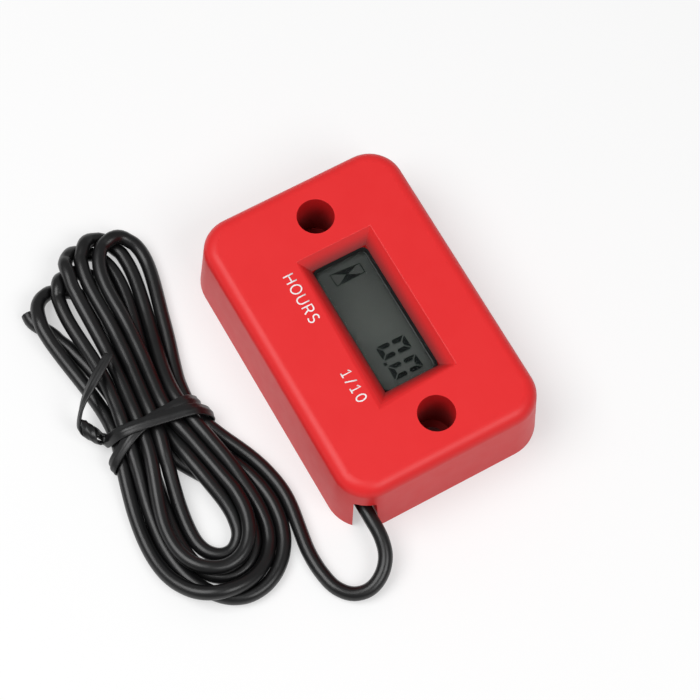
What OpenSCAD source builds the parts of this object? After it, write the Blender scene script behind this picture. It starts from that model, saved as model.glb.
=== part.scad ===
// Surface-mount engine hour meter: a potted display unit with an inductive pickup lead
// Millimetres. +X is the reading direction, +Z comes out of the face, z = 0 is the mounting surface

/* [Housing] */
// Length of the housing at its back rim
body_l = 60; // [56:0.5:72]
// Width of the housing at its back rim
body_w = 40.8; // [39:0.2:50]
// Height from the mounting surface to the face
body_h = 14.8; // [14:0.2:20]
// Radius of the four upright corners at the back rim
corner_r = 7.2; // [6:0.1:9]
// How far each side leans in between the rim and the rounded top edge
draft = 0.85; // [0.3:0.05:1.2]
// Radius of the rounded edge round the face
edge_r = 2.6; // [1:0.1:3]
// Thickness of the side walls
wall = 2; // [1.4:0.1:2.6]
// Thickness of the face plate
face_t = 2.2; // [1.8:0.1:2.6]

/* [Window] */
// Length of the window recess at the face
win_l = 30.3; // [26:0.1:32]
// Width of the window recess at the face
win_w = 15; // [13:0.1:16]
// Distance of the window's middle above the housing's middle
win_y = 1.35; // [0:0.05:2.5]
// Depth and run of the 45 degree bevel round the window
bevel = 2.1; // [1.6:0.1:2.4]
// Straight lip below the bevel
sill_t = 1.2; // [0.8:0.1:1.6]
// How far the pad behind the window reaches past the display holder
pad_lap = 0.3; // [0.2:0.05:0.4]

/* [Screw holes] */
// Distance between the two screw holes
hole_pitch = 42.5; // [42:0.1:44]
// Distance of the holes above the housing's middle
hole_y = 1.25; // [0:0.05:3]
// Diameter of the well that takes the screw head
well_d = 6.7; // [5.6:0.1:7]
// Diameter of the clearance hole under the head
screw_d = 4; // [3:0.1:4.6]
// Thickness of the seat under the head
seat_t = 3; // [2.4:0.1:6]
// Wall of the boss round the well
boss_wall = 1.5; // [1.2:0.1:1.7]
// Thickness of the rib between each boss and its end wall
rib_t = 1.6; // [1:0.1:2.4]

/* [Lead outlet] */
// Outside diameter of the pickup lead
lead_d = 2.6; // [2:0.1:3]
// Distance of the lead from the housing's lower side at the rim
lead_in = 4.4; // [4.2:0.1:5]
// Width of the notch in the end wall at the rim
notch_w = 4; // [3.4:0.1:4.4]
// How much each side of the notch leans in towards its top
notch_lean = 0.3; // [0:0.05:0.5]
// Radius in the two upper corners of the notch
notch_r = 0.5; // [0.2:0.1:0.8]
// Distance of the notch's middle beyond the lead
notch_off = 0.45; // [0:0.05:0.6]
// Room above the lead in the notch
notch_room = 3.1; // [1.5:0.1:3.5]
// Thickness of the dam walls that keep the resin out of the corner
dam_t = 1.5; // [1:0.1:1.8]
// Length of the dry corner pocket behind the notch, from the rim inwards
pocket_l = 7.5; // [7:0.1:8]
// Distance from the lead to the long dam wall
pocket_w = 2.6; // [2.2:0.1:3]
// Depth of the dam's rim behind the mounting surface
dam_drop = 2; // [1:0.1:2.6]
// Radial clearance of the lead in the dam's hole
lead_fit = 0.05; // [0.03:0.01:0.1]

/* [Display] */
// Thickness of the clear lens flange
lens_t = 0.7; // [0.5:0.05:1]
// How far the lens plug stands up into the window
plug_h = 0.5; // [0.3:0.05:0.8]
// Gap between the lens plug and the window's lip
plug_gap = 0.45; // [0.2:0.05:0.8]
// Corner radius of the lens plug
plug_r = 0.9; // [0.5:0.1:1.5]
// Thickness of each glass plate
glass_t = 0.7; // [0.5:0.05:0.9]
// Thickness of the polarising film and of the reflector film
film_t = 0.2; // [0.15:0.05:0.3]
// How far the front glass reaches past the opening at each end
glass_lap_l = 1.5; // [1.2:0.1:1.6]
// How far the front glass reaches past the opening at each side
glass_lap_w = 2; // [1.8:0.1:2.2]
// Width of the contact ledge at each side of the front glass
ledge_w = 1.85; // [1.8:0.05:2]
// Distance of the rear glass from the front glass's short ends
ledge_l = 1.6; // [1.4:0.1:1.8]
// Width of a rubber contact strip
zebra_w = 1.6; // [1.2:0.1:1.7]
// Height of a rubber contact strip
zebra_h = 2.2; // [2:0.1:2.6]
// Wall of the display holder
holder_wall = 1.2; // [0.9:0.1:1.3]
// Clearance round the glass and the strips in the holder
fit = 0.15; // [0.1:0.05:0.2]

/* [Electronics] */
// Thickness of the circuit board
board_t = 1; // [0.8:0.1:1.2]
// Clearance between the board and the housing, at its lower edge and its ends
board_gap = 0.4; // [0.3:0.05:0.6]
// Clearance between the board's upper edge and the housing
board_head = 2.3; // [1:0.1:4]
// Diameter of the coin cell
cell_d = 20; // [16:0.5:20]
// Thickness of the coin cell
cell_t = 2.5; // [1.6:0.1:2.5]
// Step between the cell's can and its narrower cap
cell_step = 1.2; // [0.8:0.1:1.6]
// Distance of the coin cell's middle from the housing's middle, along X
cell_x = -4; // [-5:0.1:-3]
// Distance of the coin cell's middle from the housing's middle, along Y
cell_y = 3.4; // [3:0.1:4]
// Width of a cell tab
tab_w = 4; // [3:0.1:5]
// Thickness of a cell tab
tab_t = 0.2; // [0.15:0.05:0.25]
// Cover of resin over the cell
resin_cover = 0.6; // [0.4:0.05:0.8]

/* [Hidden] */
// Overshoot of a cut past the face that it leaves
cut = 0.5;
// Gap between the cured resin and what it was poured round
resin_gap = 0.02;
// Faces in a full turn: rounded corners, and exact round features
corner_fn = 48;
round_fn = 48;

// Heights, worked down from the face
face_z = body_h - face_t;
bevel_z = body_h - bevel;
sill_z = bevel_z - sill_t;
holder_z1 = sill_z - lens_t;
film_gap = 0.05;
glass_z1 = holder_z1 - film_gap - film_t;
ledge_z = glass_z1 - glass_t;
rear_z = ledge_z - glass_t;
board_z1 = ledge_z - zebra_h;
board_z0 = board_z1 - board_t;
cell_z1 = board_z0 - tab_t;
cell_z0 = cell_z1 - cell_t;
resin_z = cell_z0 - tab_t - resin_cover;
lead_drop = 0.35;
lead_z = board_z0 - lead_drop - lead_d / 2;

// The side walls: sideways lean for each millimetre of height
lean = draft / (body_h - edge_r);
corner_x = body_l / 2 - corner_r;
corner_y = body_w / 2 - corner_r;
inner_edge_r = 0.8;
function inner_y(z) = body_w / 2 - wall - lean * z;

// Window, lens, glass and holder outlines
open_l = win_l - 2 * bevel;
open_w = win_w - 2 * bevel;
plug_l = open_l - 2 * plug_gap;
plug_w = open_w - 2 * plug_gap;
glass_l = open_l + 2 * glass_lap_l;
glass_w = open_w + 2 * glass_lap_w;
rear_l = glass_l - 2 * ledge_l;
rear_w = glass_w - 2 * ledge_w;
holder_in_l = glass_l + 2 * fit;
holder_in_w = glass_w + 2 * fit;
holder_l = holder_in_l + 2 * holder_wall;
holder_w = holder_in_w + 2 * holder_wall;
lens_inset = 0.2;
lens_l = holder_l - 2 * lens_inset;
lens_w = holder_w - 2 * lens_inset;
pad_l = holder_l + 2 * pad_lap;
pad_w = holder_w + 2 * pad_lap;
film_inset = 0.5;

// Screw bosses
boss_d = well_d + 2 * boss_wall;
hole_x = hole_pitch / 2;

// Circuit board, between the bosses and just clear of the lower wall
board_l = hole_pitch - boss_d - 2 * board_gap;
board_y0 = -inner_y(board_z1) + board_gap;
board_y1 = inner_y(board_z1) - board_head;
// Strip of the board's front side that is free for components
free_y1 = win_y - holder_w / 2;
free_y = (board_y0 + free_y1) / 2;

// Corner pocket, its dam and the notch
lead_y = body_w / 2 - lead_in;
pocket_x = body_l / 2 - pocket_l;
dam_x = pocket_x - dam_t;
dam_y = -lead_y + pocket_w;
notch_y = -lead_y - notch_off;
notch_z1 = lead_z + lead_d / 2 + notch_room;

// Lead inside the housing
core_d = 1;
core_l = 4;
root_l = 9;
pad_set = 2.6;
root_x0 = dam_x - root_l;
pad_x = root_x0 - pad_set;

// Components on the board's front side
cap_r = 3.2;
cap_h = 1.3;
cap_x = -board_l / 4;
can_d = 2;
can_l = 6;
can_x = board_l / 6;
chip_l = 1.6;
chip_w = 0.8;
capacitor_h = 0.8;
resistor_h = 0.45;
chip_pitch = 2;
chip_count = 4;
chip_edge = 1.2;
chip_set = 0.25;
chip_gap = 0.8;
chip_x = board_l / 2 - chip_edge - (chip_count - 1) * chip_pitch;
resistor_y = board_y0 + chip_set + chip_l / 2;
capacitor_y = resistor_y + chip_l + chip_gap;

// Cell cap and tabs
lid_h = 0.5;
tab_reach = 2.6;
tab_x1 = cell_x + cell_d / 2 + tab_reach;
tab_leg_y = cell_y - cell_d / 2 - 1;
solder_d = 2.2;
solder_h = 1.2;

// Route of the free lead, from the dam out through the notch and round to the hank
lead_route = [[22.5, -16, 5], [26, -16, 5], [29.5, -16, 4.9], [33, -16, 4.4], [36.2, -16.8, 3.5],
    [38.6, -18.9, 2.5], [39.7, -21.8, 1.7], [38.9, -24.7, 1.3], [36.5, -26.7, 1.3], [33.3, -27.5, 1.3],
    [30, -27.7, 1.3], [27.2, -27.5, 1.3]];
lead_sides = 8;

// Outline of the hank: circles at its two ends, at the waist under the tie and where the lead leaves it
hank_h = 6.4;
hank_top = [-35, -36.4];
hank_top_r = 8.8;
hank_side = [-31, -43.6];
hank_side_r = 5.2;
hank_waist = [-4, -40.2];
hank_waist_r = 8.2;
hank_foot = [18.4, -40.8];
hank_foot_r = 12.4;
hank_lip = [23.4, -27.6];
hank_lip_r = 3;
hank_fn = 64;

// Twist tie round the waist, with its twisted ends on the far side from the housing
tie_t = 0.7;
tie_band = 6;
tie_gap = 0.05;
tie_slack = 1.2;
tie_w = 2 * hank_waist_r + tie_slack;
tie_d = 1.8;
tie_knot = [hank_waist[0] - tie_band / 3, hank_waist[1] - tie_w / 2 - tie_d / 4, hank_h / 2];
tie_tail = [[-9, -51.4, 4], [-12.5, -50.4, 7.4], [-18, -42, 7.5]];

// Points on an arc, in degrees
function arc(c, r, a0, a1, n) = [for (i = [0 : n])
    let (a = a0 + (a1 - a0) * i / n) c + r * [cos(a), sin(a)]];
// Points of a rectangle with round corners
function round_rect(l, w, r, n = 6) = [for (k = [0 : 3])
    let (sx = k == 0 || k == 3 ? 1 : -1, sy = k < 2 ? 1 : -1)
        each arc([sx * (l / 2 - r), sy * (w / 2 - r)], r, 90 * k, 90 * k + 90, n)];
// Side profile of one corner post of a drafted box, with a round top edge
function post_profile(r0, z0, z1, rnd) = concat(
    [[0, z0], [r0 - lean * z0, z0]],
    arc([r0 - lean * (z1 - rnd) - rnd, z1 - rnd], rnd, 0, 90, 8),
    [[0, z1]]);
// Sweep frames along a route
function unit(v) = v / norm(v);
function heading(p, i) = unit(p[min(i + 1, len(p) - 1)] - p[max(i - 1, 0)]);
function ring(c, t, r, n) = let (side = unit(cross(t, [0, 0, 1])), up = cross(side, t))
    [for (k = [0 : n - 1]) let (a = 360 * (k + 0.5) / n) c + r * (cos(a) * side + sin(a) * up)];

// A box centred on X and Y that stands on z
module plate(l, w, z0, z1, y = 0) {
    translate([-l / 2, y - w / 2, z0])
        cube([l, w, z1 - z0]);
}

// A round rod between two heights
module rod(d, z0, z1) {
    translate([0, 0, z0])
        cylinder(d = d, h = z1 - z0, $fn = round_fn);
}

// A round rod along X
module rod_x(d, x0, x1, y, z) {
    translate([x0, y, z])
        rotate([0, 90, 0])
            cylinder(d = d, h = x1 - x0, $fn = round_fn);
}

// The drafted form of the housing, moved in by an inset
module drafted_box(inset, z0, z1, rnd) {
    hull()
        for (sx = [-1, 1], sy = [-1, 1])
            translate([sx * corner_x, sy * corner_y, 0])
                rotate_extrude($fn = corner_fn)
                    polygon(post_profile(corner_r - inset, z0, z1, rnd));
}

// A tube swept through the points of a route
module swept_tube(route, d, sides) {
    n = len(route);
    rings = [for (i = [0 : n - 1]) ring(route[i], heading(route, i), d / 2, sides)];
    walls = [for (i = [0 : n - 2], k = [0 : sides - 1])
        [i * sides + k, i * sides + (k + 1) % sides, (i + 1) * sides + (k + 1) % sides, (i + 1) * sides + k]];
    first = [for (k = [0 : sides - 1]) sides - 1 - k];
    last = [for (k = [0 : sides - 1]) (n - 1) * sides + k];
    polyhedron(points = [for (r = rings) each r], faces = concat([first], walls, [last]), convexity = 6);
}

// The two screw bosses, each tied to its end wall by a rib
module bosses() {
    for (sx = [-1, 1])
        translate([sx * hole_x, hole_y, 0]) {
            rod(boss_d, 0, face_z + cut);
            translate([sx > 0 ? 0 : -body_l / 2 + hole_x, -rib_t / 2, dam_drop])
                cube([body_l / 2 - hole_x, rib_t, face_z - dam_drop + cut]);
        }
}

// The stepped screw holes: clearance hole at the back, head well at the face
module screw_holes() {
    for (sx = [-1, 1])
        translate([sx * hole_x, hole_y, 0]) {
            rod(screw_d, -cut, seat_t + cut);
            rod(well_d, seat_t, body_h + cut);
        }
}

// Two dam walls that close off the corner pocket
module dam() {
    translate([dam_x, -body_w / 2, dam_drop])
        cube([dam_t, body_w / 2 + dam_y + dam_t, face_z - dam_drop + cut]);
    translate([dam_x, dam_y, dam_drop])
        cube([body_l / 2 - dam_x, dam_t, face_z - dam_drop + cut]);
}

// The lead notch: an upright slot along X, with round upper corners
module notch() {
    half = notch_w / 2;
    top = half - notch_lean;
    outline = concat(
        [[-half, -cut], [half, -cut], [half, 0]],
        arc([top - notch_r, notch_z1 - notch_r], notch_r, 0, 90, 4),
        arc([-top + notch_r, notch_z1 - notch_r], notch_r, 90, 180, 4),
        [[-half, 0]]);
    translate([pocket_x + cut, notch_y, 0])
        rotate([90, 0, 90])
            linear_extrude(pocket_l + cut)
                polygon(outline);
}

// Section across a bevelled recess: 45 degree sides above a flat bottom
module bevel_section(width) {
    reach = bevel + cut;
    half = width / 2;
    polygon([[-half, 0], [half, 0], [half + reach, reach], [-half - reach, reach]]);
}

// The window recess: four bevels above a straight opening
module window_cut() {
    intersection() {
        translate([0, win_y + win_w, bevel_z])
            rotate([90, 0, 0])
                linear_extrude(2 * win_w)
                    bevel_section(open_l);
        translate([-win_l, win_y, bevel_z])
            rotate([90, 0, 90])
                linear_extrude(2 * win_l)
                    bevel_section(open_w);
    }
    plate(open_l, open_w, sill_z - cut, bevel_z + cut / 10, win_y);
}

// Moulded shell, open at the back
module housing() {
    color([0.90, 0.19, 0.19])
        difference() {
            drafted_box(0, 0, body_h, edge_r);
            difference() {
                drafted_box(wall, -cut, face_z, inner_edge_r);
                bosses();
                plate(pad_l, pad_w, sill_z, face_z + cut, win_y);
                dam();
            }
            screw_holes();
            window_cut();
            notch();
            rod_x(lead_d + 2 * lead_fit, dam_x - cut, pocket_x + cut, -lead_y, lead_z);
        }
}

// Clear lens: a flange behind the window's lip and a plug that stands up into the opening
module window_lens() {
    color([0.80, 0.85, 0.86, 0.35])
        union() {
            plate(lens_l, lens_w, holder_z1, sill_z, win_y);
            translate([0, win_y, sill_z - lens_t / 2])
                linear_extrude(lens_t / 2 + plug_h)
                    polygon(round_rect(plug_l, plug_w, plug_r));
        }
}

module front_polariser() {
    color([0.30, 0.32, 0.31])
        plate(glass_l - 2 * film_inset, glass_w - 2 * film_inset, glass_z1, glass_z1 + film_t, win_y);
}

module front_glass() {
    color([0.62, 0.68, 0.66])
        plate(glass_l, glass_w, ledge_z, glass_z1, win_y);
}

module rear_glass() {
    color([0.58, 0.64, 0.62])
        plate(rear_l, rear_w, rear_z, ledge_z, win_y);
}

module reflector_film() {
    color([0.70, 0.72, 0.70])
        plate(rear_l - 2 * film_inset, rear_w - 2 * film_inset, rear_z - film_t, rear_z, win_y);
}

// Frame that carries the glass on its end ledges and keeps the contact strips upright
module display_holder() {
    color([0.10, 0.10, 0.11])
        difference() {
            plate(holder_l, holder_w, board_z1, holder_z1, win_y);
            plate(holder_in_l, holder_in_w, ledge_z, holder_z1 + cut, win_y);
            plate(rear_l + 2 * fit, holder_in_w, board_z1 - cut, ledge_z + cut, win_y);
        }
}

// Rubber strip of fine conducting layers, pressed between the board and a glass ledge
module contact_strip(side) {
    color([0.85, 0.72, 0.72])
        plate(rear_l, zebra_w, board_z1, ledge_z, win_y + side * (glass_w - zebra_w) / 2);
}

module upper_contact_strip() {
    contact_strip(1);
}

module lower_contact_strip() {
    contact_strip(-1);
}

module circuit_board() {
    color([0.10, 0.36, 0.20])
        plate(board_l, board_y1 - board_y0, board_z0, board_z1, (board_y0 + board_y1) / 2);
}

// Domed resin cap over the controller chip
module controller_cap() {
    dome_r = (cap_r * cap_r + cap_h * cap_h) / (2 * cap_h);
    rim_a = asin((dome_r - cap_h) / dome_r);
    color([0.07, 0.07, 0.07])
        translate([cap_x, free_y, board_z1])
            rotate_extrude($fn = round_fn)
                polygon(concat([[0, 0]], arc([0, cap_h - dome_r], dome_r, rim_a, 90, 8)));
}

// Watch crystal in a drawn can, lying on the board
module crystal_can() {
    color([0.78, 0.78, 0.80])
        rod_x(can_d, can_x - can_l / 2, can_x + can_l / 2, free_y + can_d, board_z1 + can_d / 2);
}

// A row of chip components on the board's front side
module chip_row(y, h) {
    for (i = [0 : chip_count - 1])
        translate([chip_x + i * chip_pitch - chip_w / 2, y - chip_l / 2, board_z1])
            cube([chip_w, chip_l, h]);
}

module chip_capacitors() {
    color([0.66, 0.53, 0.36])
        chip_row(capacitor_y, capacitor_h);
}

module chip_resistors() {
    color([0.12, 0.12, 0.13])
        chip_row(resistor_y, resistor_h);
}

// Coin cell: a can with a narrower cap towards the board
module coin_cell() {
    color([0.76, 0.77, 0.78])
        translate([cell_x, cell_y, 0])
            union() {
                rod(cell_d, cell_z0, cell_z1 - lid_h);
                rod(cell_d - 2 * cell_step, cell_z0, cell_z1);
            }
}

// Flat tab between the cell's cap and the board
module negative_tab() {
    color([0.80, 0.78, 0.72])
        translate([cell_x, cell_y - tab_w / 2, cell_z1])
            cube([tab_x1 - cell_x, tab_w, tab_t]);
}

// Tab under the cell's can, with a leg up to the board
module positive_tab() {
    color([0.80, 0.78, 0.72])
        union() {
            translate([cell_x - tab_w / 2, tab_leg_y, cell_z0 - tab_t])
                cube([tab_w, cell_y - tab_leg_y, tab_t]);
            translate([cell_x - tab_w / 2, tab_leg_y, cell_z0 - tab_t])
                cube([tab_w, tab_t, board_z0 - cell_z0 + tab_t]);
        }
}

// A cone of solder that hangs from the board's rear side
module solder_cone(x, y, h) {
    translate([x, y, board_z0 - h])
        cylinder(d1 = solder_d * 0.6, d2 = solder_d, h = h, $fn = round_fn);
}

// Cones at the two cell tabs and at the lead's core
module solder_cones() {
    solder_cone(cell_x, tab_leg_y, solder_h);
    solder_cone(tab_x1, cell_y, solder_h);
    solder_cone(pad_x, -lead_y, board_z0 - lead_z + core_d);
}

// Solder round the two cell tabs and the lead's core
module solder_joints() {
    color([0.74, 0.75, 0.77])
        difference() {
            solder_cones();
            negative_tab();
            positive_tab();
            lead_core();
        }
}

// Bared copper strands of the lead, twisted and tinned
module lead_core() {
    color([0.80, 0.50, 0.30])
        rod_x(core_d, root_x0 - core_l, root_x0, -lead_y, lead_z);
}

// The insulated end of the lead, held in the resin and in the dam
module lead_root() {
    color([0.06, 0.06, 0.06])
        rod_x(lead_d, root_x0, pocket_x, -lead_y, lead_z);
}

// Black resin that fills the housing round the board, up to a level behind the rim
module potting_resin() {
    color([0.05, 0.05, 0.055])
        difference() {
            drafted_box(wall + resin_gap, resin_z, face_z - resin_gap, inner_edge_r);
            bosses_room();
            dam_room();
            plate(pad_l + 2 * resin_gap, pad_w + 2 * resin_gap, board_z1, face_z + cut, win_y);
            circuit_board();
            controller_cap();
            crystal_can();
            chip_capacitors();
            chip_resistors();
            coin_cell();
            negative_tab();
            positive_tab();
            solder_cones();
            lead_core();
            lead_root();
        }
}

// Room that the resin leaves for the bosses and their ribs
module bosses_room() {
    for (sx = [-1, 1])
        translate([sx * hole_x, hole_y, 0]) {
            rod(boss_d + 2 * resin_gap, 0, face_z + cut);
            translate([sx > 0 ? 0 : -body_l / 2 + hole_x, -rib_t / 2 - resin_gap, 0])
                cube([body_l / 2 - hole_x, rib_t + 2 * resin_gap, face_z + cut]);
        }
}

// Room that the resin leaves for the dam and the dry pocket behind it
module dam_room() {
    translate([dam_x - resin_gap, -body_w / 2, 0])
        cube([body_l / 2 - dam_x + resin_gap, body_w / 2 + dam_y + dam_t + resin_gap, face_z + cut]);
}

// Free stretch of the lead
module lead_tube() {
    color([0.06, 0.06, 0.06])
        swept_tube(lead_route, lead_d, lead_sides);
}

// Closed outline of the wound lead
module hank_outline() {
    hull() {
        translate(hank_top)
            circle(hank_top_r, $fn = hank_fn);
        translate(hank_side)
            circle(hank_side_r, $fn = hank_fn);
        translate(hank_waist)
            circle(hank_waist_r, $fn = hank_fn);
    }
    hull() {
        translate(hank_waist)
            circle(hank_waist_r, $fn = hank_fn);
        translate(hank_foot)
            circle(hank_foot_r, $fn = hank_fn);
        translate(hank_lip)
            circle(hank_lip_r, $fn = hank_fn);
    }
}

// Wound lead, grooved underneath where the tie passes
module lead_hank() {
    color([0.07, 0.07, 0.07])
        difference() {
            linear_extrude(hank_h)
                hank_outline();
            translate([hank_waist[0], hank_waist[1], 0])
                tie_room();
        }
}

// Everything outside the tie's loop, over the width of its band
module tie_room() {
    band = tie_band + 2 * tie_gap;
    difference() {
        translate([-band / 2, -hank_foot_r - cut, -cut])
            cube([band, 2 * (hank_foot_r + cut), hank_h + 2 * cut]);
        translate([-band, -tie_w / 2 + tie_t + tie_gap, tie_t + tie_gap])
            cube([2 * band, tie_w - 2 * (tie_t + tie_gap), hank_h - tie_t - 2 * tie_gap]);
    }
}

// Flat tie in a closed loop, with a knot and a tail of its twisted ends
module twist_tie() {
    color([0.05, 0.05, 0.05])
        union() {
            translate([hank_waist[0] - tie_band / 2, hank_waist[1], 0])
                rotate([90, 0, 90])
                    linear_extrude(tie_band)
                        difference() {
                            translate([-tie_w / 2, 0])
                                square([tie_w, hank_h + tie_t]);
                            translate([-tie_w / 2 + tie_t, tie_t])
                                square([tie_w - 2 * tie_t, hank_h - tie_t]);
                        }
            for (leg = [[tie_knot, tie_tail[0]], [tie_tail[0], tie_tail[1]], [tie_tail[1], tie_tail[2]]])
                hull()
                    for (p = leg)
                        translate(p)
                            sphere(d = tie_d, $fn = 16);
        }
}

housing();
window_lens();
front_polariser();
front_glass();
rear_glass();
reflector_film();
display_holder();
upper_contact_strip();
lower_contact_strip();
circuit_board();
controller_cap();
crystal_can();
chip_capacitors();
chip_resistors();
coin_cell();
negative_tab();
positive_tab();
solder_joints();
lead_core();
lead_root();
potting_resin();
lead_tube();
lead_hank();
twist_tie();
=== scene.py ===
"""The finished look of the hour meter.

A red moulded housing with a bevelled window, a reflective display behind a clear lens, white printed
lettering, black potting at the back, and a pickup lead wound into a hank under a twist tie.
Sizes are in millimetres in the row frame, and become metres where a mesh is made.
"""
import logging
import math
from dataclasses import dataclass, field
from enum import Enum
from typing import ClassVar, Iterable, Optional, Sequence, Union

import bmesh
import bpy
import numpy as np
from bmesh.types import BMEdge, BMesh, BMVert
from bpy.types import Material, Node, NodeSocket, NodeTree, Object
from mathutils import Matrix, Vector


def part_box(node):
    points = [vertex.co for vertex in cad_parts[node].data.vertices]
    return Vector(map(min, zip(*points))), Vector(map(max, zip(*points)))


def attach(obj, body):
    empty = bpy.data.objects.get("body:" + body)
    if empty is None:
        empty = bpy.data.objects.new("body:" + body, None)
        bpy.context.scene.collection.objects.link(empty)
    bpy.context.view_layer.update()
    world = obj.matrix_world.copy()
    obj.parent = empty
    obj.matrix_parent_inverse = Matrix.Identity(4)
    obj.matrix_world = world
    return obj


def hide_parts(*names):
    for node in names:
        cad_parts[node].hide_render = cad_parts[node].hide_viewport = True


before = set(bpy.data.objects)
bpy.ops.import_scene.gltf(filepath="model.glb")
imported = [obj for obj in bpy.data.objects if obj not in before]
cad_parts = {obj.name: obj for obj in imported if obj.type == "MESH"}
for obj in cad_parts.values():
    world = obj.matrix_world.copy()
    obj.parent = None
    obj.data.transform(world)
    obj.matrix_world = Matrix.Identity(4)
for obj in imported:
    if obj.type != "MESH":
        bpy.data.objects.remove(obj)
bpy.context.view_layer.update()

MM = 0.001
# Millimetres within which heights count as one, and within which points are merged
NEAR = 0.02
MERGE = 0.0005
# Keeps a length from being zero
TINY = 1e-9
# Points drawn between two that a smooth line passes
SPAN_STEPS = 12
BODY = "root"
FLOAT = "NodeSocketFloat"
COLOUR = "NodeSocketColor"
# Places of a mix node's two colour inputs and of its colour output
COLOUR_A = 6
COLOUR_B = 7
COLOUR_OUT = 2
LOG = logging.getLogger("hour_meter")

Colour = tuple[float, float, float]
Point = tuple[float, float, float]
Flat = tuple[float, float]
Feed = Union[float, Sequence[float], NodeSocket]


def mm_box(node: str) -> tuple[Vector, Vector]:
    """Gives a CAD node's box in millimetres.

    Args:
        node: Name of the CAD node.

    Returns:
        Its lowest and its highest corner.
    """
    low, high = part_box(node)
    return low / MM, high / MM


def put(
    tree: NodeTree,
    kind: str,
    inputs: Optional[dict[Union[str, int], Feed]] = None,
    **settings: object,
) -> Node:
    """Adds a node to a tree and fills its sockets.

    Args:
        tree: The node tree.
        kind: Blender's name of the node type.
        inputs: Values, or sockets to link, by input name or number.
        settings: Attributes of the node itself.

    Returns:
        The new node.
    """
    node = tree.nodes.new(kind)
    for name, value in settings.items():
        setattr(node, name, value)
    for name, value in (inputs or {}).items():
        if isinstance(value, NodeSocket):
            tree.links.new(value, node.inputs[name])
        else:
            node.inputs[name].default_value = value
    return node


def own_place(tree: NodeTree) -> NodeSocket:
    """Gives the shaded point's place in its object's own frame."""
    return put(tree, "ShaderNodeTexCoord").outputs["Object"]


def compute(tree: NodeTree, operation: str, a: Feed, b: Feed, clamp: bool = False) -> NodeSocket:
    """Adds a maths node and gives its result."""
    return put(tree, "ShaderNodeMath", {0: a, 1: b}, operation=operation, use_clamp=clamp).outputs[0]


def blended(tree: NodeTree, share: Feed, a: Feed, b: Feed, kind: str = "MIX") -> NodeSocket:
    """Mixes two colours and gives the result."""
    sockets = {"Factor": share, COLOUR_A: a, COLOUR_B: b}
    return put(tree, "ShaderNodeMix", sockets, data_type="RGBA", blend_type=kind).outputs[COLOUR_OUT]


def blank(owner: Union[Material, bpy.types.World]) -> NodeTree:
    """Turns on the nodes of a material or a world, and clears them.

    Args:
        owner: The material or world.

    Returns:
        Its empty node tree.
    """
    owner.use_nodes = True
    owner.node_tree.nodes.clear()
    return owner.node_tree


def linked(name: str, data: bpy.types.ID) -> Object:
    """Makes an object of some data and puts it into the scene.

    Args:
        name: Name of the object.
        data: Its mesh, curve, lamp or camera.

    Returns:
        The object.
    """
    made = bpy.data.objects.new(name, data)
    bpy.context.scene.collection.objects.link(made)
    return made


def rgba(colour: Colour) -> tuple[float, float, float, float]:
    """Adds a full alpha to a linear colour."""
    return (*colour, 1.0)


class Relief(Enum):
    """Kinds of fine relief, each a node group."""

    STIPPLE = "stipple"
    DRAWN = "drawn"
    PEEL = "peel"


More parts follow.
